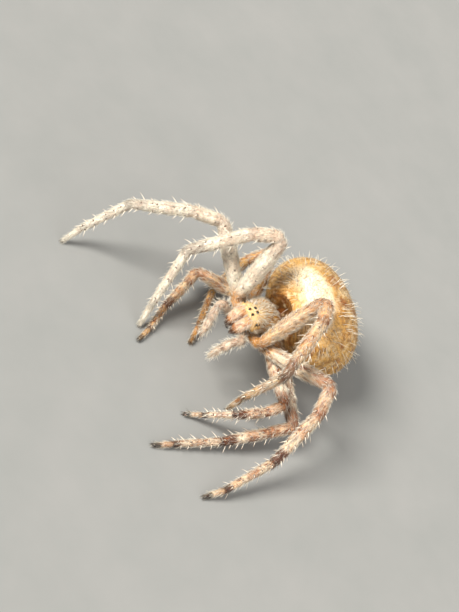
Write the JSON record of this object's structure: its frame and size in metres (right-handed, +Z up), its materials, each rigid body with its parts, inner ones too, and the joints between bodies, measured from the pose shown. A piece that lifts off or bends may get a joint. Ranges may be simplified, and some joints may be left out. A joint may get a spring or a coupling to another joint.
{
  "type": "orb weaver spider",
  "caption": "Life-size model of a plump, hairy orb weaver spider at rest, with an egg-shaped abdomen, a small domed carapace and long, bent, spiny legs that reach forward.",
  "frame": {"origin": "on the floor, under the middle of the bounding box", "axes": "+Z up, the head faces -Y, the spider's left side is +X"},
  "size_m": [0.0292, 0.0262, 0.0132],
  "materials": {
    "carapace": "golden brown, lightly glossed, under pale hairs",
    "abdomen": "soft golden tan skin with fine brown speckles and short hairs",
    "leg": "cream and tan with brown rings and pale spines",
    "mouth": "orange brown, smooth and lightly glossed",
    "eye": "black, wet gloss",
    "fang": "black brown, glossy"
  },
  "bodies": {
    "root": {"carapace": "carapace", "sternum": "mouth", "abdomen": "abdomen", "pedicel": "carapace", "spinnerets": "mouth", "chelicera_L": "mouth", "fang_L": "fang", "palp_L": "leg", "chelicera_R": "mouth", "fang_R": "fang", "palp_R": "leg", "eye_front_middle_L": "eye", "eye_front_middle_R": "eye", "eye_back_middle_L": "eye", "eye_back_middle_R": "eye", "eye_front_side_L": "eye", "eye_front_side_R": "eye", "eye_back_side_L": "eye", "eye_back_side_R": "eye", "coxa_L1": "leg", "femur_L1": "leg", "tibia_L1": "leg", "foot_L1": "leg", "coxa_R1": "leg", "femur_R1": "leg", "tibia_R1": "leg", "foot_R1": "leg", "coxa_L2": "leg", "femur_L2": "leg", "tibia_L2": "leg", "foot_L2": "leg", "coxa_R2": "leg", "femur_R2": "leg", "tibia_R2": "leg", "foot_R2": "leg", "coxa_L3": "leg", "femur_L3": "leg", "tibia_L3": "leg", "foot_L3": "leg", "coxa_R3": "leg", "femur_R3": "leg", "tibia_R3": "leg", "foot_R3": "leg", "coxa_L4": "leg", "femur_L4": "leg", "tibia_L4": "leg", "foot_L4": "leg", "coxa_R4": "leg", "femur_R4": "leg", "tibia_R4": "leg", "foot_R4": "leg"}
  },
  "joints": []
}
